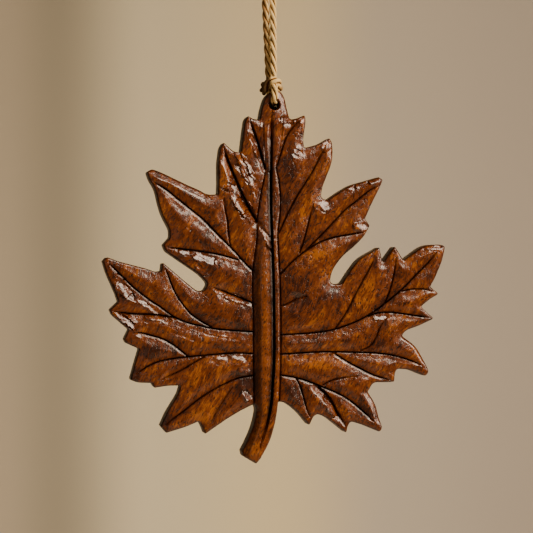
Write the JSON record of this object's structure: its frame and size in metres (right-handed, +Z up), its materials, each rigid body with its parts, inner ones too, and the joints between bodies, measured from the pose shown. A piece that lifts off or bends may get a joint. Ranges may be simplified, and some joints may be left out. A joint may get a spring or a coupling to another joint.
{
  "type": "hanging ornament",
  "caption": "Carved wooden maple leaf with grooved veins, a raised split midrib and a stem, drilled near its tip and hung from a doubled natural twine with a knot.",
  "frame": {"origin": "hanging point, just under the top of the loop of twine", "axes": "+Z up along the twine, -Y towards the viewer out of the carved front, +X to the viewer's right"},
  "size_m": [0.1532, 0.0158, 0.2362],
  "materials": {
    "carved_wood": "dark stain in the cuts under a glossy wax",
    "twine": "three-ply natural fibre"
  },
  "bodies": {
    "root": {"leaf": "carved_wood", "twine_loop": "twine", "twine_knot": "twine", "twine_through_hole": "twine"}
  },
  "joints": []
}
